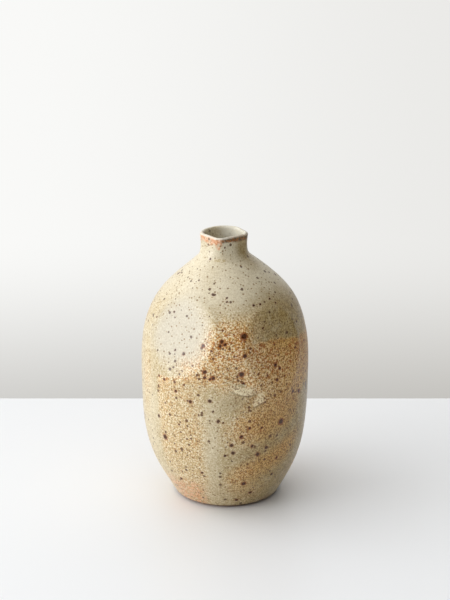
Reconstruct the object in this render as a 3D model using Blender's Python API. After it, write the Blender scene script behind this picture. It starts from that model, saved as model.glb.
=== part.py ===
"""A small stoneware bottle vase: thrown in sections, luted together, pressed with a paddle, glazed.

Metres, +Z up. The origin is the centre of the foot's resting face, and the front faces -Y.
The clay is four sections luted together, under one outer and one inner coat of glaze.
"""

import bmesh
import bpy
from math import cos, pi, radians, sin, sqrt, tan, tau

# Overall form. A curve is a Bezier run of (radius, height) knots and handles, one per thrown section.
HEIGHT = 0.170
BELLY_RADIUS = 0.052
BELLY_HEIGHT = 0.086
NECK_JOINT = (0.0167, 0.1546)
LIP_RADIUS = 0.0147
LIP_ROUNDING = 0.0015
GLAZE_LINE = (0.0329, 0.0020)

LOWER_CURVE = (GLAZE_LINE, (0.0488, 0.0296), (BELLY_RADIUS, 0.0366), (BELLY_RADIUS, BELLY_HEIGHT))
UPPER_CURVE = ((BELLY_RADIUS, BELLY_HEIGHT), (BELLY_RADIUS, 0.1244), (0.0416, 0.1344), NECK_JOINT)
NECK_CURVE = (NECK_JOINT, (0.0141, 0.1567), (0.0138, 0.1620), (LIP_RADIUS, HEIGHT - LIP_ROUNDING))

# Layers of the wall, measured inward from the outside face.
GLAZE = 0.0004
GAP = 0.0003
BODY_WALL = 0.0050
NECK_WALL = 0.0036
LIP_WALL = 0.0026

# Foot and floor.
FOOT_RADIUS = 0.0300
FOOT_RING_INNER = 0.0235
RECESS_DEPTH = 0.0015
SEAT_HEIGHT = 0.0065
SEAT_INNER = 0.0270
FLOOR_TOP = 0.0082

# The belly seam's step, and the level inside the throat where the two glazes meet.
SEAM_STEP = 0.0030
THROAT_LINE = 0.1580

# Flats pressed into the soft clay: azimuth and upward tilt in degrees (azimuth 0 is the front and
# + is to its right), the plane's distance from the axis at the belly's height, and edge softness.
PRESSES = (
    {"azimuth": -35.0, "tilt": 18.5, "distance": 0.0541, "softness": 0.0012},
    {"azimuth": 37.0, "tilt": 11.0, "distance": 0.0512, "softness": 0.0012},
)

# Finger dents at the edge of the right-hand flat: azimuth in degrees, height of the raised edge at
# the foot of the dent, its turn in degrees and curl per metre, half width across the wall, reach up
# the wall, height of the slope from the hollow out to the edge, and depth. The edge stands proud by
# a share of the depth, and the wall steps back from it just below.
DENTS = (
    {
        "azimuth": 11.5, "edge": 0.0832, "turn": -14.8, "curl": 26.0,
        "half_width": 0.0130, "reach": 0.0260, "slope": 0.0062, "depth": 0.0013,
    },
    {
        "azimuth": 23.0, "edge": 0.0760, "turn": 22.0, "curl": 0.0,
        "half_width": 0.0062, "reach": 0.0160, "slope": 0.0058, "depth": 0.0010,
    },
)
DENT_STEP = 0.0012
EDGE_PROUD = 0.45

# The lip is a rounded diamond: flats as (azimuth, distance from the neck's axis).
LIP_FLATS = ((32.0, 0.0118), (-50.0, 0.0130), (118.0, 0.0135), (-135.0, 0.0145))
LIP_SOFTNESS = 0.0008

# The pot is a little off true: (height, sideways offset of its axis) from the foot to the neck.
LEAN = ((0.0, 0.0010), (0.050, -0.0001), (0.110, 0.0), (0.145, 0.0005), (0.160, -0.0006))

# Mesh resolution, shared by every layer so that neighbouring facets stay parallel.
SEGMENTS = 36
STEPS = {LOWER_CURVE: 9, UPPER_CURVE: 10, NECK_CURVE: 5}
SPACING = 0.02
LIP_STEPS = 4
SHARP_ANGLE = radians(40)

# Halvings of a section when searching along it for a level.
HALVINGS = 40

# Linear colours and roughness of the fired surfaces.
CLAY = {"colour": (0.33, 0.19, 0.11), "roughness": 0.85}
OUTSIDE = {"colour": (0.56, 0.44, 0.27), "roughness": 0.42}
LINER = {"colour": (0.56, 0.54, 0.47), "roughness": 0.35}

CLAY_COVER = GLAZE + GAP
SEAM_TOP = BELLY_HEIGHT + SEAM_STEP


def bezier(curve, t):
    """Point and tangent of a cubic run at t from 0 to 1, as (radius, height)."""
    weights = ((1 - t) ** 3, 3 * t * (1 - t) ** 2, 3 * t * t * (1 - t), t ** 3)
    slopes = (-3 * (1 - t) ** 2, 3 * (1 - t) * (1 - 3 * t), 3 * t * (2 - 3 * t), 3 * t * t)
    point = [sum(w * knot[axis] for w, knot in zip(weights, curve)) for axis in (0, 1)]
    tangent = [sum(s * knot[axis] for s, knot in zip(slopes, curve)) for axis in (0, 1)]
    return point, tangent


def smooth_step(value):
    value = min(max(value, 0.0), 1.0)
    return value * value * (3 - 2 * value)


def soft_excess(distance, softness):
    """How far a point stands outside a plane, rounded over where the plane leaves the wall."""
    if distance <= -softness:
        return 0.0
    if distance < softness:
        return (distance + softness) ** 2 / (4 * softness)
    return distance


def press_depth(azimuth, radius, height):
    """Inward push of the paddle's flats and the finger dents at a point of the outside face."""
    depth = 0.0
    for press in PRESSES:
        tilt = radians(press["tilt"])
        facing = cos(azimuth - radians(press["azimuth"]))
        if facing <= 0:
            continue
        outward = radius * facing * cos(tilt) + (height - BELLY_HEIGHT) * sin(tilt)
        excess = soft_excess(outward - press["distance"] * cos(tilt), press["softness"])
        depth = max(depth, excess / (facing * cos(tilt)))
    for dent in DENTS:
        depth += dent_depth(dent, azimuth, height)
    return depth


def dent_depth(dent, azimuth, height):
    """A finger's dent: a hollow, then a slope out to a raised edge, and a small step back below it."""
    across = (azimuth - radians(dent["azimuth"])) * BELLY_RADIUS
    width = min(abs(across) / dent["half_width"], 1.0)
    over = height - dent["edge"] - across * tan(radians(dent["turn"])) - dent["curl"] * across * across
    if over > dent["slope"]:
        profile = smooth_step((dent["reach"] - over) / (dent["reach"] - dent["slope"]))
    elif over > 0:
        profile = 1 - (1 + EDGE_PROUD) * smooth_step(1 - over / dent["slope"])
    else:
        profile = -EDGE_PROUD * smooth_step(1 + over / DENT_STEP)
    return dent["depth"] * (1 - width * width) ** 2 * profile


def lip_pinch(azimuth, height):
    """Inward push that turns the round neck into the rounded diamond of the lip."""
    push = 0.0
    for flat_azimuth, distance in LIP_FLATS:
        facing = cos(azimuth - radians(flat_azimuth))
        if facing <= 0:
            continue
        excess = soft_excess(LIP_RADIUS * facing - distance, LIP_SOFTNESS)
        push = max(push, excess / facing)
    return push * smooth_step((height - NECK_JOINT[1]) / (HEIGHT - NECK_JOINT[1]))


def lean(height):
    """Sideways offset of the pot's axis at a height, eased from one LEAN point to the next."""
    for (low, start), (high, end) in zip(LEAN, LEAN[1:]):
        if height < high:
            return start + (end - start) * smooth_step((height - low) / (high - low))
    return LEAN[-1][1]


def wall_thickness(height):
    """Whole wall, with both glazes: full in the body, thinner in the neck and thinnest at the lip."""
    neck = NECK_JOINT[1]
    if height < neck:
        thinning = smooth_step((height - BELLY_HEIGHT) / (neck - BELLY_HEIGHT))
        return BODY_WALL + (NECK_WALL - BODY_WALL) * thinning
    return NECK_WALL + (LIP_WALL - NECK_WALL) * (height - neck) / (HEIGHT - neck)


def azimuths():
    return [tau * step / SEGMENTS for step in range(SEGMENTS)]


def shaped_ring(radius, height, outer_radius, outer_height):
    """A ring at (radius, height), pushed and leaned as the outside face beside it is."""
    ring = []
    for azimuth in azimuths():
        push = press_depth(azimuth, outer_radius, outer_height) + lip_pinch(azimuth, outer_height)
        pushed = radius - push
        ring.append((pushed * sin(azimuth) + lean(outer_height), -pushed * cos(azimuth), height))
    return ring


def flat_ring(radius, height):
    return shaped_ring(radius, height, 0.0, 0.0)


def wall_ring(curve, t, depth):
    """The wall's ring at t along a section, at a depth below the outside face, square to it."""
    (radius, height), (run, rise) = bezier(curve, t)
    length = sqrt(run * run + rise * rise)
    return shaped_ring(radius - depth * rise / length, height + depth * run / length, radius, height)


def level_place(curve, level, depth):
    """How far along a section its layer at `depth` reaches a given height."""
    low, high = 0.0, 1.0
    for _ in range(HALVINGS):
        t = (low + high) / 2
        (_, height), (run, rise) = bezier(curve, t)
        if height + depth * run / sqrt(run * run + rise * rise) < level:
            low = t
        else:
            high = t
    return t


def stations(curve, first=0.0, last=1.0):
    """Places of the rings along a section that lie between first and last, with both ends."""
    steps = STEPS[curve]
    evenly = [step / steps for step in range(steps + 1)]
    if curve is UPPER_CURVE:
        evenly.insert(1, level_place(curve, SEAM_TOP, 0.0))
    return [first] + [t for t in evenly if first + SPACING < t < last - SPACING] + [last]


def outer_rings(curve, depth, first=0.0, last=1.0):
    """Rings up a section, `depth` below the wall's outside face."""
    return [wall_ring(curve, t, depth) for t in stations(curve, first, last)]


def inner_rings(curve, cover, first=0.0, last=1.0):
    """Rings up a section, `cover` below the wall's inside face."""
    rings = []
    for t in stations(curve, first, last):
        rings.append(wall_ring(curve, t, wall_thickness(bezier(curve, t)[0][1]) - cover))
    return rings


def lip_rings(inset):
    """Half round over the lip, from the outside to the inside, `inset` below the glaze's face."""
    (radius, height), (run, rise) = bezier(NECK_CURVE, 1.0)
    length = sqrt(run * run + rise * rise)
    run, rise = run / length, rise / length
    middle = LIP_WALL / 2
    rings = []
    for step in range(1, LIP_STEPS):
        angle = pi * step / LIP_STEPS
        depth = middle - (middle - inset) * cos(angle)
        reach = (middle - inset) * sin(angle)
        ring_radius = radius - depth * rise + reach * run
        ring_height = height + depth * run + reach * rise
        rings.append(shaped_ring(ring_radius, ring_height, radius, height))
    return rings


def make_material(name, colour, roughness):
    material = bpy.data.materials.new(name)
    material.use_nodes = True
    shader = material.node_tree.nodes["Principled BSDF"]
    shader.inputs["Base Color"].default_value = (*colour, 1.0)
    shader.inputs["Roughness"].default_value = roughness
    shader.inputs["Metallic"].default_value = 0.0
    return material


def make_solid(name, rings, closed, material, vase):
    """Bridge the rings in order. A closed loop makes a hollow ring; otherwise flat caps end it."""
    mesh = bpy.data.meshes.new(name)
    shape = bmesh.new()
    loops = [[shape.verts.new(point) for point in ring] for ring in rings]
    pairs = list(zip(loops, loops[1:] + loops[:1])) if closed else list(zip(loops, loops[1:]))
    for lower, upper in pairs:
        for step in range(SEGMENTS):
            following = (step + 1) % SEGMENTS
            shape.faces.new((lower[step], lower[following], upper[following], upper[step]))
    if not closed:
        shape.faces.new(loops[0])
        shape.faces.new(loops[-1])
    walls = [face for face in shape.faces if len(face.verts) == 4]
    bmesh.ops.triangulate(shape, faces=walls, quad_method="SHORT_EDGE")
    bmesh.ops.recalc_face_normals(shape, faces=shape.faces)
    shape.to_mesh(mesh)
    shape.free()
    mesh.shade_smooth()
    mesh.set_sharp_from_angle(angle=SHARP_ANGLE)
    mesh.materials.append(material)
    solid = bpy.data.objects.new(name, mesh)
    bpy.context.collection.objects.link(solid)
    solid.parent = vase
    return solid


def floor_slab():
    """Clay floor: a standing ring, a shallow recess under it, and a raised disc that keys the wall."""
    seat = level_place(LOWER_CURVE, SEAT_HEIGHT, CLAY_COVER)
    return [
        flat_ring(FOOT_RING_INNER - RECESS_DEPTH, RECESS_DEPTH),
        flat_ring(FOOT_RING_INNER, 0.0),
        flat_ring(FOOT_RADIUS, 0.0),
        *outer_rings(LOWER_CURVE, CLAY_COVER, 0.0, seat),
        flat_ring(SEAT_INNER - GAP, SEAT_HEIGHT),
        flat_ring(SEAT_INNER - GAP, FLOOR_TOP),
    ]


def lower_wall():
    """Barrel wall on the floor's seat; its inner half rises past the belly seam as a tongue."""
    foot = level_place(LOWER_CURVE, SEAT_HEIGHT + GAP, CLAY_COVER)
    toe = level_place(LOWER_CURVE, FLOOR_TOP, BODY_WALL - CLAY_COVER)
    tongue = level_place(UPPER_CURVE, SEAM_TOP, 0.0)
    tongue_face = (BODY_WALL + GAP) / 2
    return [
        *outer_rings(LOWER_CURVE, CLAY_COVER, foot),
        wall_ring(LOWER_CURVE, 1.0, tongue_face),
        wall_ring(UPPER_CURVE, tongue, tongue_face),
        *reversed(inner_rings(UPPER_CURVE, CLAY_COVER, 0.0, tongue)),
        *reversed(inner_rings(LOWER_CURVE, CLAY_COVER, toe)[:-1]),
        flat_ring(SEAT_INNER, FLOOR_TOP),
        flat_ring(SEAT_INNER, SEAT_HEIGHT + GAP),
    ]


def upper_wall():
    """Shoulder wall: its outer half laps down over the tongue, and its top is the collar's seat."""
    lap = level_place(UPPER_CURVE, BELLY_HEIGHT + GAP, 0.0)
    tongue = level_place(UPPER_CURVE, SEAM_TOP + GAP, 0.0)
    lap_face = (BODY_WALL - GAP) / 2
    return [
        *outer_rings(UPPER_CURVE, CLAY_COVER, lap),
        *reversed(inner_rings(UPPER_CURVE, CLAY_COVER, tongue)),
        wall_ring(UPPER_CURVE, tongue, lap_face),
        wall_ring(UPPER_CURVE, lap, lap_face),
    ]


def neck_collar():
    """Neck and pinched lip, standing on the conical seat at the top of the shoulder."""
    seat = level_place(NECK_CURVE, NECK_JOINT[1] + GAP, 0.0)
    return [
        *outer_rings(NECK_CURVE, CLAY_COVER, seat),
        *lip_rings(CLAY_COVER),
        *reversed(inner_rings(NECK_CURVE, CLAY_COVER, seat)),
    ]


def outer_glaze():
    """Skin over the outside and the lip, ending inside the throat and just above the foot."""
    throat = level_place(NECK_CURVE, THROAT_LINE, 0.0)
    face = [
        *outer_rings(LOWER_CURVE, 0.0),
        *outer_rings(UPPER_CURVE, 0.0)[1:],
        *outer_rings(NECK_CURVE, 0.0)[1:],
        *lip_rings(0.0),
        *reversed(inner_rings(NECK_CURVE, 0.0, throat)),
    ]
    back = [
        *outer_rings(LOWER_CURVE, GLAZE),
        *outer_rings(UPPER_CURVE, GLAZE)[1:],
        *outer_rings(NECK_CURVE, GLAZE)[1:],
        *lip_rings(GLAZE),
        *reversed(inner_rings(NECK_CURVE, GLAZE, throat)),
    ]
    return face + back[::-1]


def liner_glaze():
    """Coat over the floor and the inside of the wall, up to the outer glaze in the throat."""
    floor = level_place(LOWER_CURVE, FLOOR_TOP + GAP, BODY_WALL - GLAZE)
    floor_face = level_place(LOWER_CURVE, FLOOR_TOP + GAP + GLAZE, BODY_WALL)
    throat = level_place(NECK_CURVE, THROAT_LINE - GAP, 0.0)
    back = [
        *inner_rings(LOWER_CURVE, GLAZE, floor),
        *inner_rings(UPPER_CURVE, GLAZE)[1:],
        *inner_rings(NECK_CURVE, GLAZE, 0.0, throat)[1:],
    ]
    face = [
        *inner_rings(LOWER_CURVE, 0.0, floor_face),
        *inner_rings(UPPER_CURVE, 0.0)[1:],
        *inner_rings(NECK_CURVE, 0.0, 0.0, throat)[1:],
    ]
    return back + face[::-1]


def main():
    for old in list(bpy.data.objects):
        bpy.data.objects.remove(old, do_unlink=True)
    vase = bpy.data.objects.new("vase", None)
    bpy.context.collection.objects.link(vase)
    make_solid("floor_slab", floor_slab(), False, make_material("floor_clay", **CLAY), vase)
    make_solid("lower_wall", lower_wall(), True, make_material("lower_wall_clay", **CLAY), vase)
    make_solid("upper_wall", upper_wall(), True, make_material("upper_wall_clay", **CLAY), vase)
    make_solid("neck_collar", neck_collar(), True, make_material("neck_clay", **CLAY), vase)
    make_solid("outer_glaze", outer_glaze(), True, make_material("speckled_glaze", **OUTSIDE), vase)
    make_solid("liner_glaze", liner_glaze(), False, make_material("liner_glaze", **LINER), vase)


main()
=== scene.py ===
"""The stoneware bottle vase in soft window light, on a pale table in front of a pale grey backdrop.

Metres, +Z up, in the CAD's frame: the foot rests at z = 0, the front faces -Y, and azimuth 0 is the
front with + towards +X. The glazes and the foot are modelled finely around the CAD's clay sections.
"""

from math import cos, pi, radians, sin, tan, tau

import bpy
import numpy as np
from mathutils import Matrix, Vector, noise


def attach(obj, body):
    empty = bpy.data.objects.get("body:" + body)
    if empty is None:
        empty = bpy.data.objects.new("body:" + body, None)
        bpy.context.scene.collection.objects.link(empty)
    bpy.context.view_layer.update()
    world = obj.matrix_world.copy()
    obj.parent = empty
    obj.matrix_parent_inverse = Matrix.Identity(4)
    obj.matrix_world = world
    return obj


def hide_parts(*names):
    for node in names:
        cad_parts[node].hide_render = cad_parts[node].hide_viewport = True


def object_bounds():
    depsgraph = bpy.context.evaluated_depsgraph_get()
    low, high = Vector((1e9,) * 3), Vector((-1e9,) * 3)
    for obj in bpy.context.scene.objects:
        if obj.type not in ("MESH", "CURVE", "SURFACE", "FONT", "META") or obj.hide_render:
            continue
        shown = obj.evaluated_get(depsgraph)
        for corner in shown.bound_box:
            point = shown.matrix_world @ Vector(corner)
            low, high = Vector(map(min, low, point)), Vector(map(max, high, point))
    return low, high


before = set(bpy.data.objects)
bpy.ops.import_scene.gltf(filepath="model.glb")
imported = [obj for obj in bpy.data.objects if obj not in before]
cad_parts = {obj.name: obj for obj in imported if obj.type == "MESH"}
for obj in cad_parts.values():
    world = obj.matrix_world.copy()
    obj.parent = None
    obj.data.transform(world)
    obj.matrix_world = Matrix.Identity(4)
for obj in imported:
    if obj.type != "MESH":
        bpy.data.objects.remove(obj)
cad_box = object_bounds()

MM = 0.001

# The vase's sizes, as in the CAD.
HEIGHT = cad_box[1].z
BELLY_RADIUS = 0.052
BELLY_HEIGHT = 0.086
NECK_JOINT = (0.0167, 0.1546)
LIP_RADIUS = 0.0147
GLAZE_LINE = (0.0329, 0.0020)

# The outside, as Bezier runs of (radius, height) knots and handles, from the foot to the lip.
LOWER_CURVE = (GLAZE_LINE, (0.0488, 0.0296), (BELLY_RADIUS, 0.0366), (BELLY_RADIUS, BELLY_HEIGHT))
UPPER_CURVE = ((BELLY_RADIUS, BELLY_HEIGHT), (BELLY_RADIUS, 0.1244), (0.0416, 0.1344), NECK_JOINT)
NECK_CURVE = (NECK_JOINT, (0.0141, 0.1567), (0.0138, 0.1620), (LIP_RADIUS, HEIGHT - 0.0015))

# Layers of the wall, the throat line where the two glazes meet, and the foot and floor.
GLAZE = 0.0004
GAP = 0.0003
BODY_WALL = 0.0050
NECK_WALL = 0.0036
LIP_WALL = 0.0026
THROAT_LINE = 0.1580
FOOT_RADIUS = 0.0300
FOOT_RING_INNER = 0.0235
RECESS_DEPTH = 0.0015
FLOOR_TOP = 0.0082
SEAT_HEIGHT = 0.0065
SEAT_INNER = 0.0270

# Flats pressed into the soft clay, also as in the CAD: azimuth and upward tilt in degrees, the plane's
# distance from the axis at the belly's height, and edge softness.
PRESSES = (
    {"azimuth": -35.0, "tilt": 18.5, "distance": 0.0541, "softness": 0.0012},
    {"azimuth": 37.0, "tilt": 11.0, "distance": 0.0512, "softness": 0.0012},
)

# Finger dents: azimuth in degrees, height of the raised edge at the foot of the dent, its turn in
# degrees and curl per metre, half width, reach up the wall, height of the slope out to the edge, and
# depth. The edge stands proud by a share of the depth, and the wall steps back from it just below.
DENTS = (
    {
        "azimuth": 11.5, "edge": 0.0832, "turn": -14.8, "curl": 26.0,
        "half_width": 0.0130, "reach": 0.0260, "slope": 0.0062, "depth": 0.0013,
    },
    {
        "azimuth": 23.0, "edge": 0.0760, "turn": 22.0, "curl": 0.0,
        "half_width": 0.0062, "reach": 0.0160, "slope": 0.0058, "depth": 0.0010,
    },
)
DENT_STEP = 0.0012
EDGE_PROUD = 0.45

# The lip's flats as (azimuth, distance from the neck's axis), and the axis's (height, sideways offset).
LIP_FLATS = ((32.0, 0.0118), (-50.0, 0.0130), (118.0, 0.0135), (-135.0, 0.0145))
LIP_SOFTNESS = 0.0008
LEAN = ((0.0, 0.0010), (0.050, -0.0001), (0.110, 0.0), (0.145, 0.0005), (0.160, -0.0006))

# Details that only the fine pieces have: rims of clay pushed up round the flats, throwing rings, soft
# lumps and waves, how far down this relief may reach and what share of it goes on inside the lip, and
# the foot's rounded edge and tool marks.
RIM_HEIGHT = 0.00045
RIM_SPREAD = 0.0011
RING_PITCH, RING_HEIGHT = 0.0052, 0.000045
FINE_RING_PITCH, FINE_RING_HEIGHT = 0.0019, 0.000012
LUMP_SIZE, LUMP_HEIGHT = 0.024, 0.00022
WAVE_SIZE, WAVE_HEIGHT = 0.0075, 0.00005
RELIEF_FLOOR = -0.00022
RELIEF_INSIDE = 0.25
FOOT_ROUNDING, FOOT_BULGE = 0.0010, 0.0002
TOOL_PITCH, TOOL_MARK = 0.0013, 0.00005

# Mesh resolution: places round the vase, spacing of the rings, the heights between which the dents
# need twice as many, and steps of the half round over the lip.
AROUND = 320
RING_SPACING = 0.0009
BACK_SPACING = 0.0060
DENTED = (0.0735, 0.0872)
LIP_STEPS = 15
LINER_AROUND = 160
LINER_SPACING = 0.0016
LINER_BACK_SPACING = 0.0040


def smooth_step(value):
    value = np.clip(value, 0.0, 1.0)
    return value * value * (3 - 2 * value)


def ramp(value, low, high):
    """0 below low, 1 above high, eased between them. high may be the smaller of the two."""
    return smooth_step((value - low) / (high - low))


def bezier(curve, t):
    """Points (radius, height) and unit tangents of a cubic run, at an array of places t."""
    t = np.asarray(t, float)[:, None]
    knots = np.array(curve)
    weights = np.hstack(((1 - t) ** 3, 3 * t * (1 - t) ** 2, 3 * t * t * (1 - t), t**3))
    slopes = np.hstack((-3 * (1 - t) ** 2, 3 * (1 - t) * (1 - 3 * t), 3 * t * (2 - 3 * t), 3 * t * t))
    tangents = slopes @ knots
    return weights @ knots, tangents / np.linalg.norm(tangents, axis=1)[:, None]


def even_places(curve, spacing, first=0.0, last=1.0):
    """Places along a run, about `spacing` apart along the curve."""
    t = np.linspace(first, last, 400)
    points, _ = bezier(curve, t)
    length = np.concatenate(([0.0], np.cumsum(np.linalg.norm(np.diff(points, axis=0), axis=1))))
    count = max(2, int(round(length[-1] / spacing)) + 1)
    return np.interp(np.linspace(0.0, length[-1], count), length, t)


def finer(places, curve, low, high):
    """The same places, with one more between each two whose heights lie from low to high."""
    heights = bezier(curve, places)[0][:, 1]
    near = (heights[:-1] > low) & (heights[1:] < high)
    return np.sort(np.concatenate((places, ((places[:-1] + places[1:]) / 2)[near])))


def soft_excess(distance, softness):
    """How far a point stands outside a plane, rounded over where the plane leaves the wall."""
    rounded = (distance + softness) ** 2 / (4 * softness)
    return np.where(distance <= -softness, 0.0, np.where(distance < softness, rounded, distance))


def press_depth(azimuth, radius, height):
    depth = np.zeros(np.broadcast(azimuth, height).shape)
    for press in PRESSES:
        tilt = radians(press["tilt"])
        facing = np.maximum(np.cos(azimuth - radians(press["azimuth"])), 1e-3)
        outward = radius * facing * cos(tilt) + (height - BELLY_HEIGHT) * sin(tilt)
        excess = soft_excess(outward - press["distance"] * cos(tilt), press["softness"])
        depth = np.maximum(depth, excess / (facing * cos(tilt)))
    return depth + sum(dent_depth(dent, azimuth, height) for dent in DENTS)


def dent_place(dent, azimuth, height):
    """How far across a dent a point is, from 0 at its middle to 1, and how far above its raised edge."""
    across = (azimuth - radians(dent["azimuth"])) * BELLY_RADIUS
    width = np.clip(np.abs(across) / dent["half_width"], 0, 1)
    over = height - dent["edge"] - across * tan(radians(dent["turn"])) - dent["curl"] * across**2
    return width, over


def dent_depth(dent, azimuth, height):
    """A finger's dent: a hollow, then a slope out to a raised edge, and a small step back below it."""
    width, over = dent_place(dent, azimuth, height)
    hollow = smooth_step((dent["reach"] - over) / (dent["reach"] - dent["slope"]))
    slope = 1 - (1 + EDGE_PROUD) * smooth_step(1 - over / dent["slope"])
    step = -EDGE_PROUD * smooth_step(1 + over / DENT_STEP)
    profile = np.where(over > dent["slope"], hollow, np.where(over > 0, slope, step))
    return dent["depth"] * (1 - width**2) ** 2 * profile


def lip_pinch(azimuth, height):
    push = np.zeros(np.broadcast(azimuth, height).shape)
    for flat_azimuth, distance in LIP_FLATS:
        facing = np.maximum(np.cos(azimuth - radians(flat_azimuth)), 1e-3)
        push = np.maximum(push, soft_excess(LIP_RADIUS * facing - distance, LIP_SOFTNESS) / facing)
    return push * ramp(height, NECK_JOINT[1], HEIGHT)


def lean(height):
    offset = np.full(np.shape(height), LEAN[-1][1])
    for (low, start), (high, end) in reversed(list(zip(LEAN, LEAN[1:]))):
        offset = np.where(height < high, start + (end - start) * ramp(height, low, high), offset)
    return offset


def wall_thickness(height):
    neck = NECK_JOINT[1]
    body = BODY_WALL + (NECK_WALL - BODY_WALL) * ramp(height, BELLY_HEIGHT, neck)
    upper = NECK_WALL + (LIP_WALL - NECK_WALL) * np.clip((height - neck) / (HEIGHT - neck), 0, 1)
    return np.where(height < neck, body, upper)


def field(points, scale, seed, depth=1):
    """Smooth repeatable noise, about -1 to 1, whose lumps are `scale` across."""
    shift = Vector((seed * 17.3, seed * -9.1, seed * 5.7))
    values = []
    for point in points.reshape(-1, 3) / scale:
        spot = Vector(point) + shift
        total = noise.noise(spot)
        for octave in range(1, depth):
            total += noise.noise(spot * 2**octave) / 2**octave
        values.append(total)
    return np.array(values).reshape(points.shape[:-1])


class Rings:
    """Rings of the wall's surface in order, with the outside place that each one belongs to."""

    def __init__(self):
        self.radius, self.height, self.outer_radius, self.outer_height = [], [], [], []

    def add(self, radius, height, outer_radius=None, outer_height=None):
        radius, height = np.atleast_1d(radius), np.atleast_1d(height)
        self.radius.append(radius)
        self.height.append(height)
        self.outer_radius.append(radius if outer_radius is None else np.atleast_1d(outer_radius))
        self.outer_height.append(height if outer_height is None else np.atleast_1d(outer_height))
        return self

    def wall(self, curve, places, depth=None, cover=None):
        """Rings at places along a run, at a depth under the outside or a cover over the inside."""
        points, tangents = bezier(curve, places)
        if depth is None:
            depth = wall_thickness(points[:, 1]) - cover
        radius = points[:, 0] - depth * tangents[:, 1]
        height = points[:, 1] + depth * tangents[:, 0]
        return self.add(radius, height, points[:, 0], points[:, 1])

    def arrays(self):
        stacks = (self.radius, self.height, self.outer_radius, self.outer_height)
        return [np.concatenate(stack)[:, None] for stack in stacks]


def vase_grid(rings, around):
    """Points of every ring, pushed and leaned like the CAD's wall."""
    radius, height, outer_radius, outer_height = rings.arrays()
    azimuth = (np.arange(around) * tau / around)[None, :]
    signed = (azimuth + pi) % tau - pi
    push = press_depth(signed, outer_radius, outer_height) + lip_pinch(signed, outer_height)
    pushed = radius - push
    x = pushed * np.sin(azimuth) + lean(outer_height)
    y = -pushed * np.cos(azimuth)
    points = np.stack((x, y, np.broadcast_to(height, x.shape)), axis=-1)
    return points, np.broadcast_to(signed, x.shape), np.broadcast_to(outer_height, x.shape)


def grid_normals(points):
    """Outward normals of a grid of rings that runs up the outside."""
    around = np.roll(points, -1, axis=1) - np.roll(points, 1, axis=1)
    along = np.gradient(points, axis=0)
    normals = np.cross(around, along)
    return normals / np.maximum(np.linalg.norm(normals, axis=2, keepdims=True), 1e-12)


def build_piece(name, points, closed, material, bake_rows):
    """A mesh from a grid of rings; bake_rows gives each ring's place up the unwrapped sheet."""
    rings, around = points.shape[:2]
    mesh = bpy.data.meshes.new(name)
    index = np.arange(rings * around).reshape(rings, around)
    lower = index if closed else index[:-1]
    upper = np.roll(index, -1, axis=0) if closed else index[1:]
    quads = np.stack((lower, np.roll(lower, -1, 1), np.roll(upper, -1, 1), upper), axis=-1).reshape(-1, 4)
    faces = [tuple(quad) for quad in quads.tolist()]
    if not closed:
        faces.append(tuple(index[0][::-1].tolist()))
        faces.append(tuple(index[-1].tolist()))
    mesh.from_pydata(points.reshape(-1, 3).tolist(), [], faces)
    mesh.shade_smooth()
    unwrap(mesh, rings, around, closed, bake_rows)
    mesh.materials.append(material)
    piece = bpy.data.objects.new(name, mesh)
    bpy.context.collection.objects.link(piece)
    return piece


def unwrap(mesh, rings, around, closed, bake_rows):
    """A cylindrical sheet for baking: across it is azimuth, and up it is bake_rows."""
    layer = mesh.uv_layers.new(name="OFBake")
    step = np.arange(around)
    across = np.stack((step, step + 1, step + 1, step), axis=-1) / around
    low = np.asarray(bake_rows, float)
    count = rings if closed else rings - 1
    uv = np.zeros((count, around, 4, 2))
    uv[..., 0] = across[None]
    high = np.roll(low, -1)[:count]
    low = low[:count]
    if closed:
        high[-1] = low[-1] + 1e-4
    uv[..., 0, 1] = uv[..., 1, 1] = low[:, None]
    uv[..., 2, 1] = uv[..., 3, 1] = high[:, None]
    flat = uv.reshape(-1, 2)
    if not closed:
        # The flat faces that end the piece are two small discs in a corner of the sheet.
        turn = np.arange(around) * tau / around
        disc = 0.012 * np.stack((np.cos(turn), np.sin(turn)), axis=-1)
        flat = np.concatenate((flat, disc[::-1] + (0.02, 0.98), disc + (0.06, 0.98)))
    layer.data.foreach_set("uv", np.clip(flat, 0, 1).astype(np.float32).ravel())


# ---------------------------------------------------------------- glaze pattern

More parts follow.
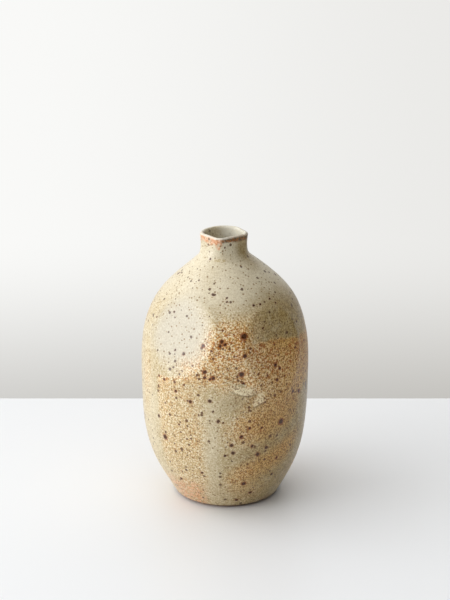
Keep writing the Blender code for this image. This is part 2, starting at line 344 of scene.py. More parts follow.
# Large iron spots that have melted through the glaze: (azimuth, height, diameter), in degrees and
# millimetres.
IRON_SPOTS = (
    (14, 119, 3.6), (-2, 116, 2.2), (0, 114.5, 2.0), (-3, 114, 1.8), (-16, 112.5, 2.2), (13.5, 107.5, 2.4),
    (-31, 105.5, 2.2), (11, 96, 3.0), (12, 89.5, 2.2), (38, 98, 2.3), (42, 95, 1.9), (38, 89, 1.9),
    (-8, 93.7, 2.2), (-10.5, 93.3, 1.6), (-14, 98, 2.4), (-14, 94, 1.8), (-45, 87.5, 1.8), (-51, 89, 1.5),
    (-35, 82.5, 1.9), (-24, 77.5, 2.2), (-10, 79.5, 2.4), (-8, 73, 1.6), (53, 78, 2.2), (61, 75.5, 2.4),
    (-4, 66, 2.4), (-1, 65.5, 1.4), (42, 61, 3.4), (-52, 61.5, 2.3), (-46, 49, 3.2), (17, 61, 1.8),
    (26, 59.7, 1.5), (11, 56, 2.2), (4, 50.5, 2.4), (5.5, 45, 2.6), (0.5, 43, 1.9), (19.5, 48.5, 2.1),
    (24, 42.5, 2.7), (30.5, 45.5, 2.3), (40, 36, 1.8), (14.7, 21, 2.8), (39, 24, 2.2), (-18, 29, 1.7),
    (-41, 20, 2.0), (10, 7, 2.2), (23, 12.5, 2.3), (-13, 140.5, 2.0), (-11.5, 140.3, 1.4), (1, 139, 1.5),
    (1, 137, 1.5), (26, 134.7, 1.9), (33, 134.5, 1.7), (45, 135.7, 1.7), (49, 133, 1.6), (30, 121.5, 1.6),
    (-48, 128, 1.5), (-63, 122.5, 1.4), (31, 164.5, 1.6), (2, 164, 1.2), (-34, 156.5, 1.4),
    (66, 119, 1.8), (57, 105, 1.5), (-39, 107, 1.6), (-28, 88, 1.3), (-33, 61, 1.4),
)

# More spots lie scattered round the back: how many, from which azimuth on at either side, between which
# heights, and their smallest and largest diameters. Most are small. NO_SPOT marks glaze far from any.
SPOT_COUNT_ELSEWHERE = 130
ELSEWHERE_FROM = 72
ELSEWHERE_HEIGHTS = (6, 150)
ELSEWHERE_SIZES = (1.3, 3.6)
NO_SPOT = -3.0

# Soft patches on the glaze. Each is (azimuth, height, half width, half height, turn, edge softness,
# strength), in degrees and millimetres; a positive turn rises to the right.
TOASTED = (
    (0, 114, 17, 11, 0, 0.55, 0.80), (12, 122, 16, 12, 0, 0.9, 0.40), (-4, 99, 26, 9, 0, 0.6, 0.55),
    (34, 88, 30, 14, 0, 0.6, 0.50), (66, 92, 22, 16, 0, 0.5, 0.50), (34, 66, 24, 12, 12, 0.6, 0.60),
    (12, 58, 15, 13, 10, 0.7, 0.35), (9, 14, 26, 10, 0, 0.7, 0.30), (-14, 50, 8, 26, 0, 0.7, 0.15),
    (-66, 80, 7, 20, 0, 0.7, 0.35), (-26, 100.5, 8, 4, -8, 0.7, 0.45), (-30, 22, 16, 9, 0, 0.6, 0.25),
    (104, 98, 24, 18, -6, 0.6, 0.60), (84, 22, 16, 10, 0, 0.6, 0.45),
)
# Khaki glaze; the strong patches on the right side also paint the shade there darker and more saturated.
KHAKI_AND_SHADE = (
    (54, 122, 32, 16, 0, 0.7, 0.90), (60, 96, 36, 30, 0, 0.7, 0.60), (50, 56, 20, 15, 0, 0.9, 0.80),
    (44, 30, 34, 28, 0, 0.7, 0.90), (8, 10, 34, 13, 0, 0.7, 0.25), (6, 78, 10, 5, 25, 0.7, 0.45),
    (32, 68, 24, 12, 20, 0.6, 0.60), (84, 76, 28, 50, 0, 0.6, 0.60), (62, 163, 22, 11, 0, 0.7, 0.90),
    (140, 130, 30, 16, 0, 0.6, 0.50), (-160, 84, 26, 12, 10, 0.6, 0.50), (-120, 20, 28, 14, 0, 0.6, 0.50),
)
PALE = (
    (-36, 120, 24, 20, 0, 0.6, 0.55), (-9, 44, 5.5, 24, 0, 0.7, 0.55), (3, 78, 11, 5, 25, 0.6, 0.50),
    (-59, 62, 7, 24, 0, 0.9, 0.55), (-7, 14, 12, 10, 0, 0.7, 0.50), (-13, 71, 7, 9, 0, 0.8, 0.30),
    (150, 74, 9, 30, 14, 0.5, 0.70), (-112, 84, 12, 22, 0, 0.5, 0.70), (100, 66, 18, 6, -16, 0.5, 0.70),
    (-176, 50, 18, 7, 8, 0.5, 0.60),
)
# Painted reflection: a cool grey laid on the left flat where it mirrors the window.
PAINTED_SHEEN_PATCHES = ((-38, 118, 22, 19, 0, 0.4, 0.90),)


def patches(table, azimuth, height, wobble):
    """The patches laid over one another, their edges pushed about by the wobble."""
    bare = np.ones(azimuth.shape)
    for place, level, half_width, half_height, turn, softness, strength in table:
        across = ((azimuth - radians(place) + pi) % tau - pi) * BELLY_RADIUS / MM
        up = height / MM - level
        along = (across * cos(radians(turn)) + up * sin(radians(turn))) / half_width
        over = (up * cos(radians(turn)) - across * sin(radians(turn))) / half_height
        edge = np.sqrt(along**2 + over**2) + wobble * np.minimum(1.0, 8.0 / half_height)
        bare *= 1 - strength * ramp(edge, 1 + softness, 1 - softness)
    return 1 - bare


def untoasted(degrees, az, up, wild):
    """Share of the glaze that the broad toasted zones leave plain.

    az and up are the place in degrees and millimetres, made to wander so that edges are uneven.
    """
    # A band at the right, from the shoulder's edge down, and all below the flat at the left.
    band_top = 114.5 - 0.11 * np.maximum(az - 25, 0)
    band = ramp(az, 6, 28) * ramp(az, 100, 80) * ramp(up, band_top + 1.2, band_top - 2.0) * ramp(up, 78, 104)
    left_top = 90.0 + 0.13 * (az + 50)
    below_left = ramp(up, left_top + 0.6, left_top - 1.0)
    left = ramp(az, -54, -49) * ramp(az, -4, -24) * below_left * ramp(up, 15, 42)
    left_rim = ramp(az, -54, -50) * ramp(az, -16, -30) * below_left * ramp(up, left_top - 6, left_top - 1)

    # A streak low on the front that rises to the right, and wild shapes all over the back.
    streak = 27 + 0.34 * az
    low = ramp(az, -10, 12) * ramp(az, 72, 50)
    low = low * ramp(up, streak + 12, streak - 1) * ramp(up, streak - 20, streak)
    behind = 0.80 * ramp(np.abs(degrees), 74, 104) * ramp(up, 128, 118) * ramp(wild, -0.22, 0.42)
    return (1 - 0.92 * band) * (1 - 0.34 * left) * (1 - 0.25 * left_rim) * (1 - 0.62 * low) * (1 - behind)


def flashed(degrees, az, up, fine):
    """Salmon flashing at the lower left, in drips under the left of the lip, and low on the back."""
    foot = ramp(az, -78, -52) * ramp(az, -14, -30) * ramp(up, 25, 13)
    drip = 2.4 * ramp(np.cos(np.radians(11 * (degrees + 14))), 0.2, 1.0) * ramp(degrees, -60, -25)
    edge = 165.9 - drip - 1.3 * fine
    lip = ramp(degrees, -112, -88) * ramp(degrees, -1, -9) * ramp(up, edge - 1.2, edge + 0.2)
    back = ramp(np.abs(degrees), 120, 150) * ramp(up, 22, 11)
    return np.maximum.reduce([0.75 * foot, lip, 0.6 * back])


def shade_fields(points, azimuth, height):
    """Where the glaze is toasted, pale, khaki (partly painted shade on the right side) or grey (a painted
    reflection on the left flat), flashed pink, and rusty under the lip's right.
    """
    broad = field(points, 0.019, 1, 2)
    fine = field(points, 0.0055, 2, 2)
    wobble = 0.28 * broad + 0.20 * fine
    wild = field(points, 0.046, 7, 3) + 0.20 * wobble
    degrees = np.degrees(azimuth)
    az = degrees + 2.2 * broad + 1.2 * fine
    up = height / MM + 1.3 * broad + 0.9 * fine

    pale = np.maximum(patches(PALE, azimuth, height, wobble), 0.95 * ramp(up, 124, 140))
    toast = 1 - (1 - patches(TOASTED, azimuth, height, wobble)) * untoasted(degrees, az, up, wild)
    rust_line = 167.1 + 1.0 * fine
    rust = ramp(degrees, -10, -3) * ramp(degrees, 150, 90) * ramp(up, rust_line - 0.8, rust_line + 0.2)
    return {
        "toast": np.clip(toast * (1 - 0.85 * pale) * (1 + 0.22 * broad), 0, 1),
        "pale": pale,
        "khaki_and_shade": patches(KHAKI_AND_SHADE, azimuth, height, wobble),
        "grey": patches(PAINTED_SHEEN_PATCHES, azimuth, height, 0.6 * wobble),
        "flash": flashed(degrees, az, up, fine),
        "rust": rust,
    }


def ledge_fields(azimuth, height):
    """Painted highlight on the up-facing slope of each finger dent, and painted shade darkening the step
    under its raised edge.
    """
    painted_ledge_highlight = np.zeros(azimuth.shape)
    painted_crease_shade = np.zeros(azimuth.shape)
    for dent in DENTS:
        width, over = dent_place(dent, azimuth, height)
        slope = dent["slope"]
        # The slope above each raised edge gets a painted highlight, and the band just under the edge gets
        # painted shade.
        ledge_highlight = ramp(over, -0.0003, 0.0004) * ramp(over, 1.1 * slope, 0.45 * slope)
        line = ramp(over, 0.0002, -0.0003) * ramp(over, -1.4 * DENT_STEP, -0.7 * DENT_STEP)
        painted_ledge_highlight = np.maximum(painted_ledge_highlight, ramp(width, 0.80, 0.25) * ledge_highlight * dent["depth"] / DENTS[0]["depth"])
        painted_crease_shade = np.maximum(painted_crease_shade, ramp(width, 0.9, 0.4) * line)
    return {"painted_ledge_highlight": painted_ledge_highlight, "painted_crease_shade": painted_crease_shade}


def iron_field(points, azimuth, height):
    """1 at the centre of each large iron spot, 0 at its edge and negative outside it."""
    spots = [(radians(a), h * MM, d * MM / 2) for a, h, d in IRON_SPOTS]
    random = np.random.RandomState(11)
    start = radians(ELSEWHERE_FROM)
    low, high = ELSEWHERE_HEIGHTS
    small, large = ELSEWHERE_SIZES
    for _ in range(SPOT_COUNT_ELSEWHERE):
        spot_azimuth = random.uniform(start, tau - start)
        spot_height = random.uniform(low * MM, high * MM)
        size = (small + (large - small) * random.uniform() ** 3) * MM / 2
        spots.append(((spot_azimuth + pi) % tau - pi, spot_height, size))
    value = np.full(azimuth.shape, NO_SPOT)
    for spot_azimuth, spot_height, size in spots:
        row = np.argmin(np.abs(height[:, 0] - spot_height))
        turned = np.abs(((azimuth[row] - spot_azimuth + pi) % tau) - pi)
        place = (row, np.argmin(turned))
        near = np.abs(height[:, 0] - spot_height) < 5 * size + 0.002
        distance = np.linalg.norm(points[near] - points[place], axis=-1)
        value[near] = np.maximum(value[near], 1 - distance / size)
    return np.maximum(value, NO_SPOT)


def set_field(piece, name, values):
    layer = piece.data.attributes.new(name, "FLOAT", "POINT")
    layer.data.foreach_set("value", np.asarray(values, np.float32).ravel())


# ---------------------------------------------------------------- materials

# Colours of the plain glaze and of its grain, whose second colours are for khaki glaze; on the right side
# the khaki also stands for painted shade.
BUFF = (0.545, 0.425, 0.225)
CREAM = (0.685, 0.605, 0.435)
KHAKI_AND_SHADE_GREEN = (0.310, 0.205, 0.055)
CLOUD = (0.48, 0.37, 0.19)
MOTTLE = (0.68, 0.60, 0.42)
LIGHT_GRAIN = ((0.82, 0.75, 0.57), (0.58, 0.43, 0.18))
DARK_GRAIN = ((0.34, 0.235, 0.10), (0.165, 0.095, 0.025))
# A cool grey for the painted reflection of the window on the left flat.
PAINTED_SHEEN_GREY = (0.52, 0.485, 0.40)

# Colours of the toasted glaze. Sand and brown vary between two; the second crystals are for khaki glaze,
# which on the right side is partly painted shade.
TOASTED_SAND = ((0.70, 0.39, 0.11), (0.72, 0.53, 0.26))
TOASTED_KHAKI_AND_SHADE = (0.51, 0.270, 0.055)
CRYSTALS = ((0.94, 0.83, 0.60), (0.70, 0.43, 0.115))
BROWN_GRAIN = ((0.44, 0.130, 0.012), (0.27, 0.125, 0.022))
KHAKI_AND_SHADE_BROWN = (0.215, 0.085, 0.012)
RUSTY_CLUMP = (0.36, 0.105, 0.010)

# Colours of the painted highlight on the dents' slopes and the painted shade under their edges, the burnt
# line, the flashing and the worn lip.
PAINTED_LEDGE_HIGHLIGHT = (0.95, 0.83, 0.57)
PAINTED_CREASE_SHADE = (0.21, 0.155, 0.065)
BURNT = ((0.30, 0.100, 0.006), (0.11, 0.062, 0.012))
SALMON = ((0.74, 0.35, 0.17), (0.52, 0.150, 0.030))
SALMON_LIGHT = (0.84, 0.58, 0.40)
SALMON_DARK = (0.48, 0.17, 0.05)
WORN = (0.73, 0.69, 0.57)

# Colours of the iron: fine flecks, middling specks, and large spots with a rusty halo.
FLECK = ((0.38, 0.23, 0.075), (0.20, 0.105, 0.028))
TOASTED_FLECK = (0.20, 0.05, 0.006)
SPECK = (0.090, 0.038, 0.009)
TOASTED_SPECK = ((0.150, 0.036, 0.003), (0.40, 0.115, 0.010))
HALO = (0.27, 0.066, 0.005)
SPOT = (0.060, 0.020, 0.005)

# Colours of the liner glaze and of the clay.
LINER = ((0.62, 0.59, 0.49), (0.50, 0.47, 0.37))
LINER_SPECK = (0.12, 0.08, 0.05)
CLAY = ((0.36, 0.20, 0.105), (0.27, 0.145, 0.08))
GROG = (0.50, 0.36, 0.22)
CLAY_SPECK = (0.07, 0.04, 0.03)


class Shade:
    """A material's node tree, with short calls for the nodes used here."""

    def __init__(self, name):
        self.material = bpy.data.materials.new(name)
        self.material.use_nodes = True
        self.nodes = self.material.node_tree.nodes
        self.links = self.material.node_tree.links
        self.shader = self.nodes["Principled BSDF"]
        place = self.nodes.new("ShaderNodeTexCoord")
        scale = self.nodes.new("ShaderNodeVectorMath")
        scale.operation = "SCALE"
        scale.inputs["Scale"].default_value = 1 / MM
        self.links.new(place.outputs["Object"], scale.inputs[0])
        self.place = scale.outputs[0]

    def put(self, socket, value):
        if isinstance(value, bpy.types.NodeSocket):
            self.links.new(value, socket)
        elif isinstance(value, tuple) and len(value) == 3 and socket.type == "RGBA":
            socket.default_value = (*value, 1.0)
        else:
            socket.default_value = value

    def math(self, operation, first, second=0.0, third=0.0):
        node = self.nodes.new("ShaderNodeMath")
        node.operation = operation
        for socket, value in zip(node.inputs, (first, second, third)):
            self.put(socket, value)
        return node.outputs[0]

    def ramp(self, value, low, high, bottom=0.0, top=1.0):
        node = self.nodes.new("ShaderNodeMapRange")
        node.interpolation_type = "SMOOTHSTEP"
        for socket, number in zip(node.inputs, (value, low, high, bottom, top)):
            self.put(socket, number)
        return node.outputs["Result"]

    def mix(self, share, first, second, blend="MIX"):
        node = self.nodes.new("ShaderNodeMix")
        node.data_type = "RGBA"
        node.blend_type = blend
        self.put(node.inputs["Factor"], share)
        self.put(node.inputs[6], first)
        self.put(node.inputs[7], second)
        return node.outputs[2]

    def field(self, name):
        node = self.nodes.new("ShaderNodeAttribute")
        node.attribute_name = name
        return node.outputs["Fac"]

    def noise(self, size, detail=2.0, roughness=0.5, shift=0.0):
        """Noise from 0 to 1 with lumps about `size` millimetres across."""
        node = self.nodes.new("ShaderNodeTexNoise")
        node.inputs["Scale"].default_value = 1 / size
        node.inputs["Detail"].default_value = detail
        node.inputs["Roughness"].default_value = roughness
        self.links.new(self.shifted(shift), node.inputs["Vector"])
        return node.outputs["Fac"]

    def shifted(self, shift):
        if not shift:
            return self.place
        node = self.nodes.new("ShaderNodeVectorMath")
        node.inputs[1].default_value = (shift, shift * 1.7, -shift * 0.6)
        self.links.new(self.place, node.inputs[0])
        return node.outputs[0]

    def dots(self, cell, shift=0.0):
        """Distance in millimetres to the nearest of scattered points, and two random shares for each."""
        node = self.nodes.new("ShaderNodeTexVoronoi")
        node.inputs["Scale"].default_value = 1 / cell
        self.links.new(self.shifted(shift), node.inputs["Vector"])
        split = self.nodes.new("ShaderNodeSeparateColor")
        self.links.new(node.outputs["Color"], split.inputs[0])
        distance = self.math("MULTIPLY", node.outputs["Distance"], cell)
        return distance, split.outputs[0], split.outputs[1]

    def bump(self, height, distance, strength=1.0, under=None):
        node = self.nodes.new("ShaderNodeBump")
        node.inputs["Strength"].default_value = strength
        node.inputs["Distance"].default_value = distance
        self.put(node.inputs["Height"], height)
        if under is not None:
            self.links.new(under, node.inputs["Normal"])
        return node.outputs["Normal"]

    def finish(self, colour, roughness, normal):
        self.put(self.shader.inputs["Base Color"], colour)
        self.put(self.shader.inputs["Roughness"], roughness)
        self.put(self.shader.inputs["Normal"], normal)
        return self.material


def plain_glaze(s, pale, khaki_and_shade, grain):
    """Buff, cream or khaki glaze, clouded, with a sandy grain of light and dark crystals. On the right side
    the khaki and its heavier dark grain are partly painted shade.
    """
    colour = s.mix(khaki_and_shade, s.mix(pale, BUFF, CREAM), KHAKI_AND_SHADE_GREEN)
    colour = s.mix(s.ramp(s.noise(22, 3, 0.55), 0.35, 0.68, 0.0, 0.28), colour, CLOUD)
    colour = s.mix(s.ramp(s.noise(5.0, 3, 0.6, 13.0), 0.45, 0.68, 0.0, 0.30), colour, MOTTLE)
    calm = s.ramp(pale, 0.0, 1.0, 1.0, 0.58)
    light = s.math("MULTIPLY", s.ramp(grain, 0.52, 0.63, 0.0, 0.60), calm)
    colour = s.mix(light, colour, s.mix(khaki_and_shade, *LIGHT_GRAIN))
    # Partly painted shade: the dark grain grows with the khaki, and is heaviest on the shaded right side.
    depth = s.math("MULTIPLY", s.ramp(khaki_and_shade, 0.0, 1.0, 0.45, 0.90), calm)
    dark = s.math("MULTIPLY", s.ramp(grain, 0.48, 0.36), depth)
    return s.mix(dark, colour, s.mix(khaki_and_shade, *DARK_GRAIN))


def toasted_glaze(s, khaki_and_shade, grain, hue):
    """The same grain turned tan, orange and brown, with bright cream crystals left in it."""
    # The khaki darkens the toast too, partly as painted shade on the right side.
    sand = s.mix(khaki_and_shade, s.mix(s.ramp(hue, 0.42, 0.58), *TOASTED_SAND), TOASTED_KHAKI_AND_SHADE)
    sand = s.mix(s.ramp(grain, 0.515, 0.61, 0.0, 0.92), sand, s.mix(khaki_and_shade, *CRYSTALS))
    brown = s.mix(khaki_and_shade, s.mix(s.ramp(hue, 0.42, 0.58), *BROWN_GRAIN), KHAKI_AND_SHADE_BROWN)
    return s.mix(s.ramp(grain, 0.475, 0.39, 0.0, 0.95), sand, brown)


def rusty_clumps(s, toast, grain):
    """Share of rust, which gathers in clumps where the glaze is well toasted."""
    clump = s.math("MULTIPLY_ADD", toast, 0.17, s.noise(2.3, 2.5, 0.6, 3.0))
    rusty = s.math("MULTIPLY", s.ramp(clump, 0.67, 0.74), s.ramp(toast, 0.3, 0.9))
    return s.math("MULTIPLY", rusty, s.ramp(grain, 0.60, 0.50, 0.15, 0.90))


def salmon_glaze(s, grain):
    """Thin glaze flashed salmon by the flame."""
    salmon = s.mix(s.ramp(s.noise(1.7, 2, 0.5, 17.0), 0.46, 0.60), *SALMON)
    salmon = s.mix(s.ramp(grain, 0.52, 0.64, 0.0, 0.6), salmon, SALMON_LIGHT)
    return s.mix(s.ramp(grain, 0.47, 0.38, 0.0, 0.6), salmon, SALMON_DARK)


def iron_flecks(s, toast, khaki_and_shade):
    """Share and colour of the finest iron, up to a millimetre across."""
    distance, share, pick = s.dots(1.55)
    common = s.math("MAXIMUM", s.ramp(toast, 0.0, 0.8, 0.28, 0.60), s.ramp(khaki_and_shade, 0.0, 1.0, 0.28, 0.58))
    size = s.math("MULTIPLY_ADD", pick, 0.34, 0.26)
    inside = s.ramp(s.math("SUBTRACT", distance, size), 0.16, -0.12)
    fleck = s.math("MULTIPLY", inside, s.math("LESS_THAN", share, common))
    return fleck, s.mix(toast, s.mix(pick, *FLECK), TOASTED_FLECK)


def iron_specks(s, toast):
    """Share and colour of the middling specks of iron, up to two millimetres across."""
    distance, share, pick = s.dots(3.4, 21.0)
    size = s.math("MULTIPLY_ADD", s.math("MULTIPLY", pick, pick), 0.72, 0.34)
    ragged = s.math("ADD", distance, s.math("MULTIPLY_ADD", s.noise(0.8, 1, 0.5, 2.0), 0.5, -0.25))
    inside = s.ramp(s.math("SUBTRACT", ragged, size), 0.14, -0.10)
    keep = s.math("LESS_THAN", share, s.ramp(toast, 0.0, 0.7, 0.46, 0.85))
    rusty = s.mix(s.math("LESS_THAN", pick, 0.42), *TOASTED_SPECK)
    return s.math("MULTIPLY", inside, keep), s.mix(toast, SPECK, rusty)


def speckled_glaze():
    """Oatmeal glaze: cream or grey-green, toasted orange in places, full of iron specks."""
    s = Shade("speckled_glaze")
    toast, pale, khaki_and_shade = s.field("toast"), s.field("pale"), s.field("khaki_and_shade")
    grain = s.noise(0.95, 1.5, 0.6, 11.0)
    hue = s.noise(1.3, 2, 0.6, 27.0)
    colour = plain_glaze(s, pale, khaki_and_shade, grain)
    colour = s.mix(s.ramp(toast, 0.0, 0.75), colour, toasted_glaze(s, khaki_and_shade, grain, hue))
    # Painted reflection: the left flat is greyed where it mirrors the window.
    colour = s.mix(s.math("MULTIPLY", s.field("grey"), 0.55), colour, PAINTED_SHEEN_GREY)
    colour = s.mix(rusty_clumps(s, toast, grain), colour, RUSTY_CLUMP)

    # Painted light at the finger dents: a pale painted highlight on their up-facing slopes, and painted
    # shade darkening the line below.
    painted_ledge_highlight = s.math("MULTIPLY", s.field("painted_ledge_highlight"), s.ramp(grain, 0.42, 0.54, 0.35, 0.95))
    colour = s.mix(painted_ledge_highlight, colour, PAINTED_LEDGE_HIGHLIGHT)
    colour = s.mix(s.math("MULTIPLY", s.field("painted_crease_shade"), 0.62), colour, PAINTED_CREASE_SHADE)

    # Near the lip the glaze's edge is burnt to a rusty line, and the flame flashed thin glaze salmon.
    burnt = s.math("MULTIPLY", s.field("rust"), s.ramp(s.noise(1.6, 2, 0.6, 33.0), 0.32, 0.52, 0.70, 1.0))
    colour = s.mix(burnt, colour, s.mix(s.ramp(hue, 0.42, 0.56), *BURNT))
    blush = s.math("MULTIPLY", s.field("flash"), s.ramp(s.noise(2.4, 3, 0.6, 5.0), 0.36, 0.60, 0.20, 0.92))
    colour = s.mix(blush, colour, salmon_glaze(s, grain))

    # Iron of three sizes.
    fleck, fleck_colour = iron_flecks(s, toast, khaki_and_shade)
    colour = s.mix(s.math("MULTIPLY", fleck, 0.85), colour, fleck_colour)
    speck, speck_colour = iron_specks(s, toast)
    colour = s.mix(s.math("MULTIPLY", speck, 0.9), colour, speck_colour)
    ragged = s.math("MULTIPLY_ADD", s.noise(0.9, 2, 0.6, 9.0), 0.9, -0.45)
    ragged = s.math("ADD", s.field("iron"), ragged)
    halo = s.math("MULTIPLY", s.ramp(ragged, -0.65, -0.10), s.ramp(toast, 0.0, 0.5, 0.30, 0.92))
    colour = s.mix(halo, colour, HALO)
    spot = s.ramp(ragged, -0.10, 0.22)
    colour = s.mix(s.math("MULTIPLY", spot, 0.95), colour, SPOT)

    # The lip's edge is worn pale.
    worn = s.math("MULTIPLY", s.field("lip"), s.ramp(s.noise(1.5, 2, 0.6, 4.0), 0.25, 0.6, 0.55, 0.95))
    colour = s.mix(worn, colour, WORN)

    # The spots are the glossiest and stand up as low domes; flecks and specks are pits in a fine peel.
    roughness = s.math("ADD", 0.24, s.math("MULTIPLY", s.noise(1.8, 3, 0.6, 6.0), 0.16))
    roughness = s.math("ADD", roughness, s.math("MULTIPLY", toast, 0.05))
    roughness = s.math("SUBTRACT", roughness, s.math("MULTIPLY", spot, 0.08))
    peel = s.bump(s.noise(1.6, 3, 0.55, 8.0), 0.00008, 0.8)
    sunk = s.math("ADD", s.math("MULTIPLY", fleck, -0.6), s.math("MULTIPLY", speck, -0.7))
    pits = s.bump(sunk, 0.00005, 1.0, peel)
    return s.finish(colour, roughness, s.bump(spot, 0.00010, 0.9, pits))


def liner_glaze():
    """Grey-white glaze inside, with a little iron."""
    s = Shade("liner_glaze")
    colour = s.mix(s.ramp(s.noise(9, 3, 0.5), 0.35, 0.7), *LINER)
    distance, share, _ = s.dots(3.4, 5.0)
    speck = s.math("MULTIPLY", s.ramp(distance, 0.5, 0.3), s.math("LESS_THAN", share, 0.3))
    colour = s.mix(s.math("MULTIPLY", speck, 0.8), colour, LINER_SPECK)
    roughness = s.math("MULTIPLY_ADD", s.noise(2.5, 2, 0.5, 3.0), 0.15, 0.28)
    return s.finish(colour, roughness, s.bump(s.noise(1.6, 3, 0.5, 8.0), 0.00008, 0.7))


def bare_clay(name):
    """Fired stoneware, toasted brown, with grog and iron in it."""
    s = Shade(name)
    colour = s.mix(s.ramp(s.noise(7, 4, 0.6), 0.3, 0.7), *CLAY)
    colour = s.mix(s.ramp(s.noise(0.8, 2, 0.6, 3.0), 0.58, 0.75, 0.0, 0.5), colour, GROG)
    distance, share, _ = s.dots(2.2, 9.0)
    speck = s.math("MULTIPLY", s.ramp(distance, 0.45, 0.25), s.math("LESS_THAN", share, 0.5))
    colour = s.mix(s.math("MULTIPLY", speck, 0.85), colour, CLAY_SPECK)
    roughness = s.math("MULTIPLY_ADD", s.noise(1.2, 3, 0.6, 6.0), 0.14, 0.78)
    return s.finish(colour, roughness, s.bump(s.noise(0.7, 4, 0.65, 2.0), 0.00016, 0.9))


# ---------------------------------------------------------------- pieces


def press_rim(press, azimuth, points, height):
    """Clay that the paddle pushed up into a low soft rim along the edge of a flat."""
    tilt = radians(press["tilt"])
    radius = np.hypot(points[..., 0], points[..., 1])
    outward = radius * np.cos(azimuth - radians(press["azimuth"])) * cos(tilt)
    short = press["distance"] * cos(tilt) - outward - (height - BELLY_HEIGHT) * sin(tilt)
    return RIM_HEIGHT * np.exp(-(((short - press["softness"]) / RIM_SPREAD) ** 2))


def relief(points, azimuth, height):
    """Hand-made unevenness of the outside, in metres; the throwing shows most on the shoulder."""
    turns = azimuth / tau
    rings = np.sin(tau * (height / RING_PITCH + turns)) * (0.5 + 0.5 * field(points, 0.018, 31))
    fine_rings = np.sin(tau * (height / FINE_RING_PITCH + turns))
    lumps = field(points, LUMP_SIZE, 32)
    waves = field(points, WAVE_SIZE, 33)
    rims = sum(press_rim(press, azimuth, points, height) for press in PRESSES)
    strength = 0.35 + 0.65 * ramp(height, 0.112, 0.130) * ramp(height, 0.156, 0.150)
    ridges = strength * (RING_HEIGHT * rings + FINE_RING_HEIGHT * fine_rings)
    return np.maximum(ridges + LUMP_HEIGHT * lumps + WAVE_HEIGHT * waves + rims, RELIEF_FLOOR)


def add_lip(rings, inset):
    """Adds the rings of the half round over the lip, from the outside to the inside."""
    points, tangents = bezier(NECK_CURVE, [1.0])
    (radius, height), (run, rise) = points[0], tangents[0]
    middle = LIP_WALL / 2
    for angle in np.linspace(0, pi, LIP_STEPS + 1)[1:-1]:
        depth = middle - (middle - inset) * cos(angle)
        reach = (middle - inset) * sin(angle)
        rings.add(radius - depth * rise + reach * run, height + depth * run + reach * rise, radius, height)


def section_places(spacing, throat):
    """Places for rings of the three sections, and of the neck's inside down to the throat line."""
    return (
        even_places(LOWER_CURVE, spacing),
        even_places(UPPER_CURVE, spacing)[1:],
        even_places(NECK_CURVE, spacing * 0.7)[1:],
        even_places(NECK_CURVE, spacing * 0.9, throat, 1.0)[::-1],
    )


def throat_place(level):
    t = np.linspace(0, 1, 2000)
    return float(np.interp(level, bezier(NECK_CURVE, t)[0][:, 1], t))


def coat(places, inset):
    """Rings of one face of the outer glaze: up the outside, over the lip and down into the throat."""
    lower, upper, neck, inside = places
    rings = Rings().wall(LOWER_CURVE, lower, inset).wall(UPPER_CURVE, upper, inset)
    add_lip(rings.wall(NECK_CURVE, neck, inset), inset)
    return rings.wall(NECK_CURVE, inside, cover=inset)


def finish_lip(fields, azimuth, past):
    """Wears the glaze on the lip, keeps the neck's inside plain and paints shade on its left wall; past
    counts rings past the outside.
    """
    # Painted shade: inside the neck the left wall keeps less pale glaze and less wear, so it is darker.
    painted_shade_inside_left = 0.75 * ramp(np.sin(azimuth), 0.1, -0.5) * ramp(past, 7, 12)
    stained = 0.45 * ramp(np.sin(azimuth), 0.1, 0.6) * ramp(past, 9, 5)
    fields["lip"] = ramp(past, 0, 3) * (1 - painted_shade_inside_left) * (1 - stained)
    inner = ramp(past, 8, 14)
    for name in ("toast", "flash", "rust"):
        fields[name] = fields[name] * (1 - inner)
    fields["pale"] = np.maximum(fields["pale"] * (1 - inner), inner * (1 - painted_shade_inside_left))
    fields["iron"] = np.where(past < 8, fields["iron"], NO_SPOT)


def make_outer_glaze():
    throat = throat_place(THROAT_LINE)
    lower, upper, neck, inside = section_places(RING_SPACING, throat)
    lower = finer(lower, LOWER_CURVE, *DENTED)
    front = coat((lower, upper, neck, inside), 0.0)
    back = coat(section_places(BACK_SPACING, throat), GLAZE)
    smooth_points, azimuth, height = vase_grid(front, AROUND)
    back_points = vase_grid(back, AROUND)[0]
    past = np.arange(len(smooth_points))[:, None] - len(lower) - len(upper) - len(neck)
    strength = np.where(past < 0, 1.0, RELIEF_INSIDE)
    lift = relief(smooth_points, azimuth, height) * strength
    points = smooth_points + grid_normals(smooth_points) * lift[..., None]

    # The face that is seen takes nearly all of the baking sheet, in proportion to its length.
    length = np.linalg.norm(np.diff(smooth_points[:, 0], axis=0), axis=1)
    rows = np.concatenate(([0.0], np.cumsum(length)))
    rows = 0.005 + 0.93 * rows / rows[-1]
    rows = np.concatenate((rows, np.linspace(0.965, 0.945, len(back_points))))
    grid = np.concatenate((points, back_points[::-1]))
    glaze = build_piece("speckled_glaze", grid, True, speckled_glaze(), rows)

    fields = shade_fields(smooth_points, azimuth, height) | ledge_fields(azimuth, height)
    fields["iron"] = iron_field(smooth_points, azimuth, height)
    finish_lip(fields, azimuth, past)
    for name, values in fields.items():
        hidden = np.full(back_points.shape[:2], NO_SPOT if name == "iron" else 0.0)
        set_field(glaze, name, np.concatenate((values, hidden)))
    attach(glaze, "root")
    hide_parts("outer_glaze")


